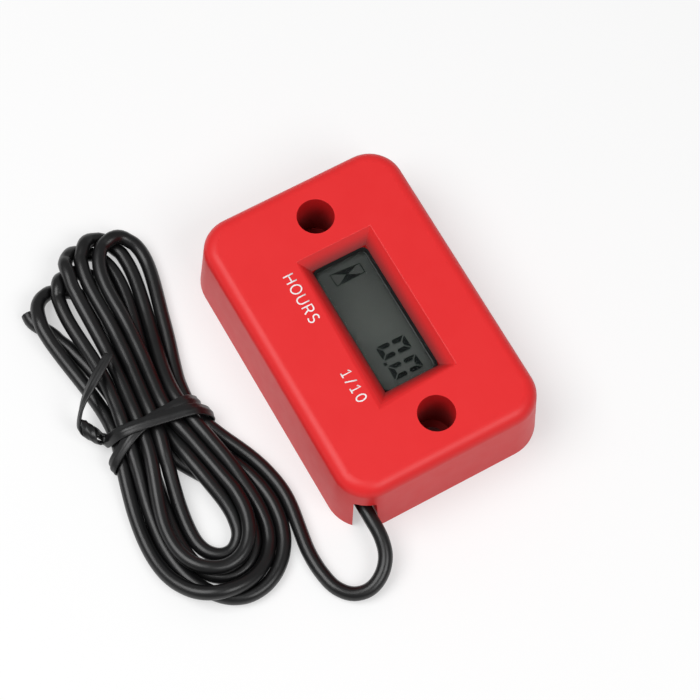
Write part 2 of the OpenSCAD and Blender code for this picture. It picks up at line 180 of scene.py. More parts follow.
class Effects:
    """Shader node groups that several finishes share, each built once."""

    groups: dict[str, NodeTree] = {}
    drawn_stretch: Point = (0.08, 1.0, 1.0)
    cell_share: float = 0.45
    peel_detail: float = 1.0
    grain_detail: float = 4.0
    gloss_detail: float = 5.0
    drift_detail: float = 6.0
    drift_range: Flat = (0.35, 0.65)

    @classmethod
    def _start(cls, name: str, inputs: Iterable[tuple[str, str]], output: tuple[str, str]) -> NodeTree:
        """Starts a group with its sockets and its end nodes.

        Args:
            name: Name of the group.
            inputs: Name and socket type of each input.
            output: Name and socket type of the output.

        Returns:
            The group, with nodes named start and end.
        """
        tree = bpy.data.node_groups.new(name, "ShaderNodeTree")
        for label, kind in inputs:
            tree.interface.new_socket(label, in_out="INPUT", socket_type=kind)
        tree.interface.new_socket(output[0], in_out="OUTPUT", socket_type=output[1])
        put(tree, "NodeGroupInput", name="start")
        put(tree, "NodeGroupOutput", name="end")
        cls.groups[name] = tree
        return tree

    @staticmethod
    def _noise(tree: NodeTree, place: NodeSocket, scale: NodeSocket, detail: float) -> NodeSocket:
        """Adds a noise and gives its value."""
        sockets = {"Vector": place, "Scale": scale, "Detail": detail}
        return put(tree, "ShaderNodeTexNoise", sockets).outputs[0]

    @classmethod
    def relief(cls, kind: Relief) -> NodeTree:
        """Makes the group for one kind of relief, from a Scale to a Height.

        Args:
            kind: Which relief.

        Returns:
            The node group.
        """
        name = f"relief_{kind.value}"
        if name in cls.groups:
            return cls.groups[name]
        tree = cls._start(name, [("Scale", FLOAT)], ("Height", FLOAT))
        scale = tree.nodes["start"].outputs["Scale"]
        place = own_place(tree)
        if kind is Relief.DRAWN:
            place = put(tree, "ShaderNodeMapping", {"Vector": place, "Scale": cls.drawn_stretch}).outputs[0]
        detail = cls.peel_detail if kind is Relief.PEEL else cls.grain_detail
        height = cls._noise(tree, place, scale, detail)
        if kind is Relief.STIPPLE:
            sockets = {"Vector": place, "Scale": scale}
            cells = put(tree, "ShaderNodeTexVoronoi", sockets, feature="SMOOTH_F1").outputs["Distance"]
            shares = {"Factor": cls.cell_share, "A": height, "B": cells}
            height = put(tree, "ShaderNodeMix", shares).outputs[0]
        tree.links.new(height, tree.nodes["end"].inputs["Height"])
        return tree

    @classmethod
    def gloss(cls) -> NodeTree:
        """Makes the group that spreads a roughness unevenly, as handling does.

        Returns:
            The node group.
        """
        name = "uneven_gloss"
        if name in cls.groups:
            return cls.groups[name]
        sockets = [(label, FLOAT) for label in ("Roughness", "Spread", "Scale")]
        tree = cls._start(name, sockets, ("Roughness", FLOAT))
        start = tree.nodes["start"].outputs
        noise = cls._noise(tree, own_place(tree), start["Scale"], cls.gloss_detail)
        centred = compute(tree, "SUBTRACT", noise, 0.5)
        spread = compute(tree, "MULTIPLY", centred, start["Spread"])
        total = compute(tree, "ADD", spread, start["Roughness"], clamp=True)
        tree.links.new(total, tree.nodes["end"].inputs["Roughness"])
        return tree

    @classmethod
    def drift(cls) -> NodeTree:
        """Makes the group that drifts between two near colours.

        Returns:
            The node group.
        """
        name = "tint_drift"
        if name in cls.groups:
            return cls.groups[name]
        sockets = [("Colour", COLOUR), ("Tint", COLOUR), ("Scale", FLOAT)]
        tree = cls._start(name, sockets, ("Colour", COLOUR))
        start = tree.nodes["start"].outputs
        noise = cls._noise(tree, own_place(tree), start["Scale"], cls.drift_detail)
        low, high = cls.drift_range
        ramp = put(tree, "ShaderNodeMapRange", {"Value": noise, "From Min": low, "From Max": high})
        mix = blended(tree, ramp.outputs[0], start["Colour"], start["Tint"])
        tree.links.new(mix, tree.nodes["end"].inputs["Colour"])
        return tree


@dataclass(frozen=True)
class Finish:
    """A surface with a drifting colour, an uneven gloss and a fine relief. Scales are per metre."""

    made: ClassVar[dict[str, Material]] = {}

    name: str
    colour: Colour
    tint: Colour
    drift_scale: float = 120.0
    roughness: float = 0.5
    gloss_spread: float = 0.12
    gloss_scale: float = 400.0
    relief: Relief = Relief.STIPPLE
    relief_scale: float = 3000.0
    relief_depth: float = 0.004
    metallic: float = 0.0
    ior: float = 1.5
    specular: float = 0.5
    coat: float = 0.0

    def material(self) -> Material:
        """Builds the material, or finds the one that was built.

        Returns:
            The material.
        """
        if self.name in self.made:
            return self.made[self.name]
        made = self.made[self.name] = bpy.data.materials.new(f"finish_{self.name}")
        tree = blank(made)
        sockets = {
            "Metallic": self.metallic,
            "IOR": self.ior,
            "Specular IOR Level": self.specular,
            "Coat Weight": self.coat,
        }
        shader = put(tree, "ShaderNodeBsdfPrincipled", sockets)
        self.paint(tree, shader)
        put(tree, "ShaderNodeOutputMaterial", {"Surface": self.surface(tree, shader)})
        return made

    def paint(self, tree: NodeTree, shader: Node) -> None:
        """Feeds the shader's colour, roughness and normal.

        Args:
            tree: The material's node tree.
            shader: Its Principled BSDF.
        """
        colours = {"Colour": rgba(self.colour), "Tint": rgba(self.tint), "Scale": self.drift_scale}
        drift = put(tree, "ShaderNodeGroup", colours, node_tree=Effects.drift())
        shine = {"Roughness": self.roughness, "Spread": self.gloss_spread, "Scale": self.gloss_scale}
        gloss = put(tree, "ShaderNodeGroup", shine, node_tree=Effects.gloss())
        grain = {"Scale": self.relief_scale}
        relief = put(tree, "ShaderNodeGroup", grain, node_tree=Effects.relief(self.relief))
        depth = self.relief_depth * MM
        bump = put(tree, "ShaderNodeBump", {"Height": relief.outputs[0], "Distance": depth})
        for node, socket in ((drift, "Base Color"), (gloss, "Roughness"), (bump, "Normal")):
            tree.links.new(node.outputs[0], shader.inputs[socket])

    def surface(self, tree: NodeTree, shader: Node) -> NodeSocket:
        """Gives the socket that goes to the output, to which a see-through finish adds."""
        return shader.outputs[0]


@dataclass(frozen=True)
class ClearFinish(Finish):
    """A clear moulding or plate that lets lamp light through."""

    def surface(self, tree: NodeTree, shader: Node) -> NodeSocket:
        """Mixes the glass with a plain passage for shadow rays.

        Args:
            tree: The material's node tree.
            shader: Its Principled BSDF.

        Returns:
            The mixed shader's output.
        """
        shader.inputs["Transmission Weight"].default_value = 1.0
        shadow = put(tree, "ShaderNodeLightPath").outputs["Is Shadow Ray"]
        passage = put(tree, "ShaderNodeBsdfTransparent", {"Color": rgba(self.colour)})
        shaders = {0: shadow, 1: shader.outputs[0], 2: passage.outputs[0]}
        return put(tree, "ShaderNodeMixShader", shaders).outputs[0]


@dataclass(frozen=True)
class PaintedLightFieldFinish(Finish):
    """The display's resting field, with painted light in the middle and painted shade towards its ends,
    where the window shades it.
    """

    middle: Point = (0.0, 0.0, 0.0)
    reach: Point = (14.0, 7.0, 1.0)
    # Shares of the colour at the ends (painted shade) and in the middle (painted light)
    shares: Flat = (0.7, 1.2)

    def paint(self, tree: NodeTree, shader: Node) -> None:
        """Lays a patch of painted light over the drifting colour, fading to painted shade at the ends.

        Args:
            tree: The material's node tree.
            shader: Its Principled BSDF.
        """
        super().paint(tree, shader)
        base = shader.inputs["Base Color"].links[0].from_socket
        scale = tuple(1 / (r * MM) for r in self.reach)
        centre = tuple(-m / r for m, r in zip(self.middle, self.reach))
        sockets = {"Vector": own_place(tree), "Scale": scale, "Location": centre}
        moved = put(tree, "ShaderNodeMapping", sockets).outputs[0]
        # Round patch of painted light, fading to painted shade towards the ends
        gradient = put(tree, "ShaderNodeTexGradient", {"Vector": moved}, gradient_type="SPHERICAL")
        painted_light_share = gradient.outputs["Fac"]
        end, mid = self.shares
        lift = put(tree, "ShaderNodeMapRange", {"Value": painted_light_share, "To Min": end, "To Max": mid}).outputs[0]
        tree.links.new(blended(tree, 1.0, base, lift, "MULTIPLY"), shader.inputs["Base Color"])


@dataclass(frozen=True)
class PaintedShadeFinish(Finish):
    """A recess's wall with painted shade, which gets darker with depth, from one height to another."""

    rim_z: float = 14.8
    dark_z: float = 6.0
    # Colour of the painted shade at the dark height
    painted_shade: Colour = (0.3, 0.016, 0.016)

    def paint(self, tree: NodeTree, shader: Node) -> None:
        """Fades the drifting colour to the painted shade by height.

        Args:
            tree: The material's node tree.
            shader: Its Principled BSDF.
        """
        super().paint(tree, shader)
        base = shader.inputs["Base Color"].links[0].from_socket
        height = put(tree, "ShaderNodeSeparateXYZ", {0: own_place(tree)}).outputs["Z"]
        sockets = {"Value": height, "From Min": self.rim_z * MM, "From Max": self.dark_z * MM}
        # How far the painted shade has come, by height
        depth = put(tree, "ShaderNodeMapRange", sockets, interpolation_type="SMOOTHSTEP").outputs[0]
        tree.links.new(blended(tree, depth, base, rgba(self.painted_shade)), shader.inputs["Base Color"])


RED_MOULDING = Finish(
    "red_moulding", (0.79, 0.021, 0.023), (0.775, 0.019, 0.021), roughness=0.42, relief_scale=3400,
    relief_depth=0.011, specular=0.38,
)
# Screw wells: a darker, duller copy of the red moulding, with painted shade deepening down the well
SHADED_RED_WELL = PaintedShadeFinish(
    "red_well_shaded", (0.6, 0.012, 0.014), (0.54, 0.01, 0.012), roughness=0.7, relief_scale=3400,
    relief_depth=0.01, specular=0.15,
)
# Window bevels: a darker copy of the red moulding, with painted shade deepening towards the lens
SHADED_RED_WINDOW = PaintedShadeFinish(
    "red_window_shaded", (0.7, 0.0165, 0.018), (0.68, 0.015, 0.0165), roughness=0.36, relief_scale=3400,
    relief_depth=0.008, specular=0.42, rim_z=14.5, dark_z=12.4, painted_shade=(0.18, 0.02, 0.02),
)
# Black seal bead, which also serves as painted shade on the window's shadowed lip and gap
LENS_SEAL_AND_SHADE = Finish("lens_seal_and_shade", (0.011, 0.011, 0.011), (0.016, 0.016, 0.016), roughness=0.6, specular=0.25)
CLEAR_LENS = ClearFinish(
    "clear_lens", (0.96, 0.97, 0.97), (0.94, 0.96, 0.96), roughness=0.04, gloss_spread=0.03,
    relief=Relief.PEEL, relief_scale=90, relief_depth=0.004, ior=1.12,
)
# Light grey painted highlight for the plug's broken edge where it faces +Y
LENS_EDGE_HIGHLIGHT = Finish("lens_edge_highlight", (0.1, 0.11, 0.107), (0.08, 0.088, 0.085), roughness=0.4, relief_depth=0.002)
# The display field's own colour, under painted light in the middle and painted shade towards its ends
DISPLAY_FIELD = PaintedLightFieldFinish(
    "display_field", (0.0365, 0.0395, 0.036), (0.033, 0.036, 0.033), roughness=0.55, relief_scale=5000,
    relief_depth=0.001, middle=(2.0, 1.0, 10.7), specular=0.15,
)
SEGMENT_INK = Finish(
    "segment_ink", (0.0022, 0.003, 0.003), (0.004, 0.005, 0.005), roughness=0.6, relief_depth=0.001,
    specular=0.05,
)
# Painted shadow: the colour of the dark sheet that stands for the segments' shadows
SEGMENT_SHADE = Finish(
    "segment_shade", (0.028, 0.031, 0.028), (0.033, 0.036, 0.033), roughness=0.6, relief_depth=0.001,
    specular=0.05,
)
PRINT_INK = Finish("print_ink", (0.83, 0.8, 0.8), (0.9, 0.88, 0.88), roughness=0.55, relief_scale=5000)
LEAD_JACKET = Finish(
    "lead_jacket", (0.0035, 0.0035, 0.0038), (0.006, 0.006, 0.0064), roughness=0.33, gloss_scale=700,
    relief=Relief.PEEL, relief_scale=500, relief_depth=0.005,
)
TIE_COAT = Finish(
    "tie_coat", (0.0045, 0.0045, 0.0048), (0.008, 0.008, 0.0085), roughness=0.36, gloss_spread=0.2,
    gloss_scale=900, relief_scale=2500, relief_depth=0.006,
)
POTTING = Finish(
    "potting", (0.006, 0.006, 0.0065), (0.012, 0.012, 0.013), roughness=0.22, gloss_spread=0.22,
    gloss_scale=150, relief=Relief.PEEL, relief_scale=220, relief_depth=0.05, coat=0.3,
)


@dataclass
class Studio:
    """The camera at the photograph's angle, a pale floor, and large soft lights."""

    azimuth: float = 56.746
    elevation: float = 67.064
    roll: float = 4.186
    distance: float = 441.766
    lens: float = 129.56
    sensor: float = 36.0
    nearest: float = 10.0
    target: Point = (1.557, -4.427, 8.0)
    floor_half: float = 900.0
    floor_drop: float = 0.02
    floor_share: float = 0.45
    floor_bounce: float = 0.46
    floor_tone: float = 0.94
    sky: float = 0.3
    aim: Point = (0.0, -10.0, 8.0)
    lamps: tuple[tuple[str, Point, float, float], ...] = (
        ("key_light", (-120.0, -330.0, 620.0), 480.0, 3.2),
        ("side_light", (400.0, 120.0, 490.0), 320.0, 1.4),
    )

    def camera(self) -> Object:
        """Places the camera.

        Returns:
            The camera object.
        """
        turn, lift, roll = (math.radians(a) for a in (self.azimuth, self.elevation, self.roll))
        back = Vector((math.sin(turn) * math.cos(lift), -math.cos(turn) * math.cos(lift), math.sin(lift)))
        level = Vector((math.cos(turn), math.sin(turn), 0.0))
        rise = back.cross(level)
        right = level * math.cos(roll) + rise * math.sin(roll)
        up = rise * math.cos(roll) - level * math.sin(roll)
        data = bpy.data.cameras.new("studio_camera")
        data.lens = self.lens
        data.sensor_width = self.sensor
        data.clip_start = self.nearest * MM
        camera = linked("studio_camera", data)
        place = Matrix((right, up, back)).transposed().to_4x4()
        place.translation = (Vector(self.target) + back * self.distance) * MM
        camera.matrix_world = place
        bpy.context.scene.camera = camera
        return camera

    def floor(self) -> Object:
        """Lays the floor, which shows near white to the camera and keeps a soft shadow.

        Returns:
            The floor object.
        """
        bm = bmesh.new()
        bmesh.ops.create_grid(bm, x_segments=1, y_segments=1, size=self.floor_half * MM)
        bmesh.ops.translate(bm, verts=bm.verts, vec=(0, 0, -self.floor_drop * MM))
        material = bpy.data.materials.new("pale_floor")
        tree = blank(material)
        seen = self._seen(tree)
        tones = {"Value": seen, "To Min": self.floor_bounce, "To Max": self.floor_tone}
        tone = put(tree, "ShaderNodeMapRange", tones)
        matte = put(tree, "ShaderNodeBsdfDiffuse", {"Color": tone.outputs[0]})
        white = put(tree, "ShaderNodeEmission", {"Color": (1, 1, 1, 1), "Strength": 1.0})
        share = compute(tree, "MULTIPLY", seen, self.floor_share)
        mix = put(tree, "ShaderNodeMixShader", {0: share, 1: matte.outputs[0], 2: white.outputs[0]})
        put(tree, "ShaderNodeOutputMaterial", {"Surface": mix.outputs[0]})
        floor = finished("floor", bm, material)
        return floor

    @staticmethod
    def _seen(tree: NodeTree) -> NodeSocket:
        """Tells rays that reach the eye, straight or by gloss or glass, from the rest.

        Args:
            tree: The node tree to add to.

        Returns:
            A socket that is 1 for those rays.
        """
        path = put(tree, "ShaderNodeLightPath").outputs
        first = compute(tree, "MAXIMUM", path["Is Camera Ray"], path["Is Glossy Ray"])
        return compute(tree, "MAXIMUM", first, path["Is Transmission Ray"])

    def world(self) -> None:
        """Sets a pale sky that the camera sees as white."""
        world = bpy.data.worlds.new("pale_sky")
        bpy.context.scene.world = world
        tree = blank(world)
        seen = put(tree, "ShaderNodeLightPath").outputs["Is Camera Ray"]
        level = put(tree, "ShaderNodeMapRange", {"Value": seen, "To Min": self.sky, "To Max": 1.0})
        sky = put(tree, "ShaderNodeBackground", {"Color": (1, 1, 1, 1), "Strength": level.outputs[0]})
        put(tree, "ShaderNodeOutputWorld", {"Surface": sky.outputs[0]})

    def lamp(self, name: str, place: Point, size: float, power: float) -> Object:
        """Hangs one square soft light that faces the part.

        Args:
            name: Name of the light.
            place: Its middle.
            size: Length of its side.
            power: Its power in watts.

        Returns:
            The light object.
        """
        data = bpy.data.lights.new(name, "AREA")
        data.size = size * MM
        data.energy = power
        lamp = linked(name, data)
        lamp.location = Vector(place) * MM
        lamp.rotation_euler = (Vector(self.aim) - Vector(place)).to_track_quat("-Z", "Y").to_euler()
        return lamp

    def build(self) -> None:
        """Sets up the whole studio."""
        self.camera()
        self.floor()
        self.world()
        for row in self.lamps:
            self.lamp(*row)
        bpy.context.scene.view_settings.view_transform = "Standard"


def finished(name: str, bm: BMesh, *materials: Material) -> Object:
    """Turns a bmesh into an object at the origin.

    Args:
        name: Name of the object.
        bm: The mesh, in metres in the row frame; it is freed.
        materials: Its materials, by slot.

    Returns:
        The linked object.
    """
    mesh = bpy.data.meshes.new(name)
    bm.to_mesh(mesh)
    bm.free()
    for material in materials:
        mesh.materials.append(material)
    return linked(name, mesh)


def seat(piece: Object, slot: str, *nodes: str) -> Object:
    """Fixes a piece to the meter and hides the CAD nodes that it replaces.

    Args:
        piece: The finished piece.
        slot: Not used.
        nodes: CAD nodes that it replaces.

    Returns:
        The piece.
    """
    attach(piece, BODY)
    if nodes:
        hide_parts(*nodes)
    LOG.info("%s: %d faces", piece.name, len(piece.data.polygons) if piece.type == "MESH" else 0)
    return piece


def merged_copy(node: str) -> BMesh:
    """Copies a CAD node's mesh and merges the corners that its faces share.

    Args:
        node: Name of the CAD node.

    Returns:
        The copy, in metres.
    """
    bm = bmesh.new()
    bm.from_mesh(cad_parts[node].data)
    bmesh.ops.remove_doubles(bm, verts=bm.verts, dist=MERGE * MM)
    return bm


def sharp_edges(bm: BMesh, height: float, sharp: float) -> list[BMEdge]:
    """Finds the sharp edges that lie at one height.

    Args:
        bm: The mesh.
        height: The height in millimetres.
        sharp: The least angle between an edge's faces, in degrees.

    Returns:
        The edges.
    """
    return [
        e
        for e in bm.edges
        if e.is_manifold
        and all(abs(v.co.z / MM - height) < NEAR for v in e.verts)
        and e.calc_face_angle() > math.radians(sharp)
    ]


def tube(name: str, radius: float, rounding: int) -> bpy.types.Curve:
    """Starts a round curve with closed ends.

    Args:
        name: Name of the curve.
        radius: Its radius.
        rounding: Blender's number of steps round it.

    Returns:
        The curve, without points.
    """
    data = bpy.data.curves.new(name, "CURVE")
    data.dimensions = "3D"
    data.bevel_depth = radius
    data.bevel_resolution = rounding
    data.use_fill_caps = True
    return data


def run_along(points: np.ndarray, power: float = 1.0) -> np.ndarray:
    """Adds up the distances between points, each raised to a power."""
    spans = np.linalg.norm(np.diff(points[:, :3], axis=0), axis=1) ** power
    return np.concatenate([[0.0], np.cumsum(spans)])


def even_run(points: np.ndarray, step: float) -> np.ndarray:
    """Spaces points evenly along a line.

    Args:
        points: The line's points; columns after the third are carried along.
        step: The wanted distance.

    Returns:
        The new points, from the first end to the last.
    """
    run = run_along(points)
    places = np.linspace(0.0, run[-1], int(round(run[-1] / step)) + 1)
    return np.stack([np.interp(places, run, column) for column in points.T], 1)


def smooth_run(points: np.ndarray, step: float) -> np.ndarray:
    """Draws a smooth centripetal curve through points.

    Args:
        points: The points that it passes; columns after the third are carried along.
        step: The wanted distance between the new points.

    Returns:
        Evenly spaced points on the curve.
    """
    q = np.vstack([2 * points[0] - points[1], points, 2 * points[-1] - points[-2]])
    knots = run_along(q, 0.5)
    spans = []
    for i in range(1, len(q) - 2):
        t = np.linspace(knots[i], knots[i + 1], SPAN_STEPS, endpoint=False)[:, None]
        level = [q[i + k] for k in (-1, 0, 1, 2)]
        for reach in ([(-1, 0), (0, 1), (1, 2)], [(-1, 1), (0, 2)], [(0, 1)]):
            shares = [(t - knots[i + m]) / (knots[i + n] - knots[i + m]) for m, n in reach]
            level = [level[k] * (1 - s) + level[k + 1] * s for k, s in enumerate(shares)]
        spans.append(level[0])
    return even_run(np.vstack([*spans, points[-1:]]), step)


@dataclass
class WoundLead:
    """The pickup lead: out of the notch, round to the hank, five turns through the tie, and a cut end."""

    diameter: float = 2.6
    spacing: float = 1.3
    fine_spacing: float = 0.65
    length: float = 835.0
    tie_lift: float = 1.05
    tie_x: float = -3.4
    tie_reach: float = 7.0
    rounding: int = 5
    # Points at the notch that stay, and points after them that come free little by little
    held: int = 29
    eased: int = 8
    ease_from: float = 0.1
    # How the hank settles, with rates for one round
    rounds: int = 240
    sink: float = 0.04
    pull: float = 0.08
    least_fade: float = 0.35
    fold_x: float = -38.0
    fold_reach: float = 8.0
    fold_share: float = 0.25
    grip: float = 0.2
    grip_reach: float = 5.0
    softening: tuple[tuple[int, int], ...] = ((6, 1), (3, 3))
    soft_rate: float = 0.9
    least_bend: float = 4.6
    bend_span: int = 3
    bend_rate: float = 0.12
    clear_span: float = 3.0
    look_every: int = 8
    look_margin: float = 1.6
    contact_passes: int = 3
    part_rate: float = 0.4
    route: tuple[Point, ...] = (
        (22.5, -16, 5), (26, -16, 5), (29.5, -16, 4.9), (33, -16, 4.4), (36.2, -16.8, 3.5),
        (38.6, -18.9, 2.5), (39.7, -21.8, 1.7), (38.9, -24.7, 1.3), (36.5, -26.7, 1.3),
        (33.3, -27.5, 1.3), (30, -27.7, 1.3), (27.2, -27.5, 1.3),
    )
    entry: tuple[Point, ...] = (
        (23, -26.6, 1.3), (17, -26, 1.3), (11, -27.4, 1.3), (5, -30, 1.3), (-1, -32.8, 1.8),
        (-4, -33.6, 2.2), (-7, -33.6, 1.9),
    )
    turns: tuple[tuple[Point, ...], ...] = (
        (
            (-10.5, -32.6, 1.5), (-14.2, -31.6, 1.3), (-18.5, -30.7, 1.3), (-22.5, -30.2, 1.3),
            (-27.1, -29.7, 1.3), (-31.6, -29.4, 1.3), (-36.1, -29.4, 1.4), (-40, -29.9, 2.2),
            (-42.2, -31.4, 3), (-41, -33, 3.6), (-38.3, -33.9, 3.8), (-33.8, -34.4, 3.9),
            (-29.2, -34.5, 3.9), (-24.3, -34.6, 3.9), (-20.2, -35, 3.9), (-16, -35.8, 3.9),
            (-11.8, -36.7, 4), (-8.1, -37.4, 4.4), (-4, -37.5, 4.5), (0.5, -36.3, 4.2), (4.3, -35.4, 3.9),
            (8.9, -34.6, 3.8), (13.3, -33.9, 3.8), (17.5, -33.7, 3.8), (21.2, -34.5, 3.8),
            (24, -36.7, 3.8), (25.4, -39.8, 3.8), (25, -43.1, 3.8), (22.8, -45.8, 3.8),
            (19.8, -47.3, 3.8), (16.1, -47.7, 3.8), (12, -47.2, 3.8), (8.4, -45.5, 3.8), (3.7, -44.2, 4),
            (0, -43.3, 4.3), (-4, -42.7, 4.5),
        ),
        (
            (-8.8, -42.2, 4.2), (-12.9, -41.4, 4), (-17.2, -40.9, 3.9), (-21.4, -40.7, 3.9),
            (-25, -40.5, 3.9), (-29.8, -40.3, 3.9), (-33.9, -39.9, 3.9), (-38, -39.7, 3.9),
            (-41, -39, 3.6), (-42.6, -36.8, 2.8), (-41, -34.6, 1.8), (-37, -33.9, 1.3), (-30, -33.9, 1.3),
            (-24, -34.3, 1.3), (-16, -35.8, 1.3), (-10, -36.3, 1.6), (-4, -36.2, 2.2), (0, -34.6, 1.5),
            (4.2, -32.6, 1.3), (8.5, -30.9, 1.3), (12.1, -29.7, 1.3), (15.8, -28.8, 1.3),
            (19.5, -28.5, 1.3), (22.6, -29.3, 1.3), (25.6, -31, 1.3), (28.2, -33.4, 1.3),
            (30.2, -36.2, 1.3), (31.2, -39.2, 1.3), (30.9, -42.2, 1.3), (29.2, -44.6, 1.3),
            (26.6, -46.6, 1.3), (23.4, -47.9, 1.3), (19.6, -48.6, 1.3), (15.6, -48.8, 1.3),
            (11.3, -48.5, 1.3), (6.9, -47.9, 1.4), (2.6, -47.2, 2.2), (-0.9, -46.4, 3.6),
            (-4, -45.3, 4.5),
        ),
        (
            (-10, -44.4, 4.2), (-14.2, -43.8, 4), (-18.6, -43.5, 3.9), (-25.4, -43.6, 3.9),
            (-29.9, -43.3, 3.9), (-33.8, -43, 3.9), (-36.7, -42.6, 3.7), (-39, -40.2, 2.9),
            (-37.8, -37.6, 1.9), (-33, -36.5, 1.3), (-25, -36.9, 1.3), (-16, -38.3, 1.3),
            (-10, -38.8, 1.6), (-4, -38.8, 2.2), (0.8, -38.9, 2.9), (4.3, -38.3, 3.8), (8.7, -37.4, 3.9),
            (12.7, -36.6, 3.2), (16.4, -36.1, 2.2), (20, -36.6, 1.5), (22.7, -38.4, 1.3),
            (23.2, -40.4, 1.3), (21.8, -42, 1.3), (19.1, -43.1, 1.3), (15.4, -43.3, 1.3),
            (11.3, -42.7, 1.4), (7.9, -42, 2.2), (4.2, -41.8, 3.4), (0, -40.8, 4.2), (-4, -40.1, 4.5),
        ),
        (
            (-7.4, -39.7, 4.4), (-11.9, -38.7, 4), (-16.1, -38, 3.9), (-20.6, -37.5, 3.9),
            (-24.5, -37.4, 3.9), (-29.3, -37.2, 3.9), (-34.3, -36.8, 3.9), (-38.9, -36.3, 3.8),
            (-42, -35.6, 3.4), (-43.6, -34, 2.7), (-42.2, -32.6, 1.9), (-38.6, -32, 1.3),
            (-35.1, -31.9, 1.3), (-30.7, -31.9, 1.3), (-25.9, -32.3, 1.3), (-21.7, -32.9, 1.3),
            (-17.5, -33.4, 1.6), (-12.1, -34.1, 2.8), (-8.6, -34.7, 3.8), (-4, -34.9, 4.5),
            (-1, -34.4, 4.3), (4.3, -33.2, 4.1), (8.6, -32.4, 3.9), (12.6, -31.7, 3.4), (16.5, -31.2, 3),
            (20.2, -31.3, 3), (23.7, -32.5, 3.4), (26.2, -34.6, 3.8), (28.3, -37.4, 3.9),
            (29.6, -40.7, 3.9), (29.6, -44, 3.9), (28, -46.9, 3.8), (25, -49.2, 3.4), (20.4, -50.6, 2.4),
            (15.6, -51.1, 1.5), (10.9, -50.9, 1.3), (6.6, -50.2, 1.3), (2.4, -49.3, 1.4),
            (-0.8, -48, 1.8), (-4, -46.8, 2.2),
        ),
        (
            (-9.6, -47, 2.6), (-14, -47.1, 3.4), (-18.9, -47.3, 3.8), (-23.9, -47.4, 3.9),
            (-28.4, -47.6, 3.9), (-31.9, -47.3, 3.9), (-35.1, -46.3, 3.6), (-38.4, -43.9, 2.6),
            (-37, -40.8, 1.8), (-32, -39.3, 1.4), (-27, -39.5, 1.3), (-22, -40, 1.3), (-16, -41, 1.3),
            (-10, -41.4, 1.6), (-4, -41.4, 2.2), (0, -40.6, 1.4), (4, -38.4, 1.3), (8, -35.6, 1.3),
            (12, -33.9, 1.3), (16.5, -33.4, 1.3), (21, -34, 1.3), (24.6, -35.8, 1.3), (26.8, -38.6, 1.3),
            (27.2, -41.6, 1.3), (25.4, -44.2, 1.3), (22.2, -45.6, 1.3), (18.5, -46, 1.3),
            (14, -45.7, 1.3), (9.6, -44.8, 1.3), (5, -44, 1.3), (0.5, -44.2, 1.6), (-4, -44, 2.2),
        ),
    )
    tail: tuple[Point, ...] = (
        (-9, -43.9, 1.6), (-15, -43.9, 1.3), (-20, -44.6, 1.3), (-25, -46, 1.3), (-28.6, -47.1, 1.3),
        (-31.6, -48.1, 1.3), (-34.6, -49.2, 1.3),
    )
    line: np.ndarray = field(default_factory=lambda: np.zeros((0, 3)))

    def ground(self, x: np.ndarray) -> np.ndarray:
        """Gives the least height of the lead's middle, which the tie lifts.

        Args:
            x: Places along X.

        Returns:
            A height for each place.
        """
        return self.diameter / 2 + self.tie_lift * np.exp(-(((x - self.tie_x) / self.tie_reach) ** 4))

    def settle(self, start: np.ndarray) -> np.ndarray:
        """Lets the wound lead sink and its strands push apart.

        Args:
            start: Evenly spaced points, as laid out.

        Returns:
            The points at rest.
        """
        home, line = start.copy(), start.copy()
        step = float(np.linalg.norm(np.diff(start, axis=0), axis=1).mean())
        skip = int(round(self.clear_span * self.diameter / step)) + 1
        free = np.ones(len(line))
        free[: self.held] = 0
        free[self.held : self.held + self.eased] = np.linspace(self.ease_from, 1, self.eased)
        weight = free[:, None]
        along = home[:, :1]
        hold = self.pull * np.clip((along - self.fold_x) / self.fold_reach, self.fold_share, 1) * weight
        tied = self.grip * np.exp(-(((along - self.tie_x) / self.grip_reach) ** 4)) * weight
        for turn in range(self.rounds):
            fade = max(1 - turn / self.rounds, self.least_fade)
            line[:, 2] -= self.sink * free
            line[:, :2] += fade * hold * (home - line)[:, :2]
            line += tied * (home - line)
            for passes, reach in self.softening:
                line = self._soften(line, weight, passes, reach)
            self._open_bends(line, weight, step)
            if turn % self.look_every == 0:
                gaps = ((line[:, None] - line[None]) ** 2).sum(2)
                near = np.nonzero(np.triu(gaps < (self.diameter + self.look_margin) ** 2, skip))
            for _ in range(self.contact_passes):
                self._part(line, weight, near)
                self._keep_length(line, weight, step)
                floor = np.where(free > 0, self.ground(line[:, 0]), line[:, 2])
                line[:, 2] = np.maximum(line[:, 2], floor)
        return line

    def _soften(self, line: np.ndarray, weight: np.ndarray, passes: int, reach: int) -> np.ndarray:
        """Takes out sharp changes of bend and leaves even curves as they are.

        Args:
            line: The points.
            weight: How free each point is.
            passes: How often it is done.
            reach: Points from one sample to the next.

        Returns:
            The softened points.
        """
        count = len(line) - 4 * reach
        for _ in range(passes):
            a, b, c, d, e = (line[k * reach : k * reach + count] for k in range(5))
            change = np.zeros_like(line)
            change[2 * reach : 2 * reach + count] = (-a + 4 * b - 6 * c + 4 * d - e) / 16
            line = line + self.soft_rate * change * weight
        return line

    def _open_bends(self, line: np.ndarray, weight: np.ndarray, step: float) -> None:
        """Pushes points apart where a bend is tighter than the least one.

        Args:
            line: The points, which are moved.
            weight: How free each point is.
            step: The distance between points.
        """
        h = self.bend_span
        chord = 2 * self.least_bend * math.sin(h * step / self.least_bend)
        v = line[2 * h :] - line[: -2 * h]
        length = np.linalg.norm(v, axis=1)[:, None]
        short = np.clip(chord - length, 0, None) * self.bend_rate * v / length
        line[2 * h :] += short * weight[2 * h :]
        line[: -2 * h] -= short * weight[: -2 * h]

